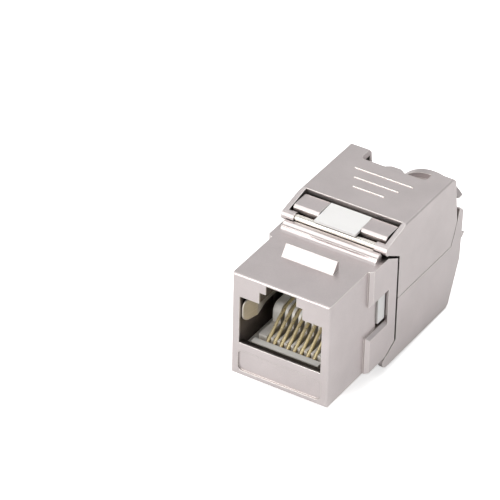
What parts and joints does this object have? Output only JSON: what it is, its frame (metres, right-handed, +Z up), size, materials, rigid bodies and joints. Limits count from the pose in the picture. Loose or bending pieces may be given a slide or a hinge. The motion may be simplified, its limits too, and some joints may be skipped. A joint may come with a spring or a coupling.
{
  "type": "keystone jack",
  "caption": "Shielded toolless keystone jack in die-cast metal: stepped modular port, white snap latch, and two hinged rear wings that close into a cable collar.",
  "frame": {"origin": "centre of the port opening in the front face", "axes": "+X to the right seen from the plug, +Y along the jack from the port to the cable collar, +Z up towards the fixed catch and the upper wing"},
  "size_m": [0.016, 0.0399, 0.0221],
  "materials": {
    "nickel": "satin",
    "pin_steel": "polished",
    "white_plastic": "matte",
    "grey_plastic": "matte",
    "gold": "polished",
    "spring_sheet": "satin",
    "blade_metal": "satin",
    "board": "satin"
  },
  "bodies": {
    "housing": {"front_housing": "nickel", "insert_carrier": "white_plastic", "contact_tray": "grey_plastic", "circuit_board": "board", "idc_block": "white_plastic", "wire_cap": "white_plastic", "shield_spring_left": "spring_sheet", "shield_spring_right": "spring_sheet", "contact_1": "gold", "contact_2": "gold", "contact_3": "gold", "contact_4": "gold", "contact_5": "gold", "contact_6": "gold", "contact_7": "gold", "contact_8": "gold", "idc_blade_1": "blade_metal", "idc_blade_2": "blade_metal", "idc_blade_3": "blade_metal", "idc_blade_4": "blade_metal", "idc_blade_5": "blade_metal", "idc_blade_6": "blade_metal", "idc_blade_7": "blade_metal", "idc_blade_8": "blade_metal"},
    "upper_wing": {"wing_upper": "nickel", "hinge_pin_upper": "pin_steel"},
    "lower_wing": {"wing_lower": "nickel", "hinge_pin_lower_left": "pin_steel", "hinge_pin_lower_right": "pin_steel"},
    "latch": {"keystone_latch": "white_plastic"}
  },
  "joints": [
    {"name": "upper_wing_hinge", "type": "hinge", "parent": "housing", "child": "upper_wing", "pos_m": [0, 0.0136, 0.0083], "axis": [1, 0, 0], "range_deg": [0, 100]},
    {"name": "lower_wing_hinge", "type": "hinge", "parent": "housing", "child": "lower_wing", "pos_m": [0, 0.0142, -0.00975], "axis": [-1, 0, 0], "range_deg": [0, 100]},
    {"name": "latch_flex", "type": "hinge", "parent": "housing", "child": "latch", "pos_m": [0, 0.0182, -0.0095], "axis": [-1, 0, 0], "range_deg": [0, 5.2], "stiffness_Nm_per_rad": 0.1}
  ]
}
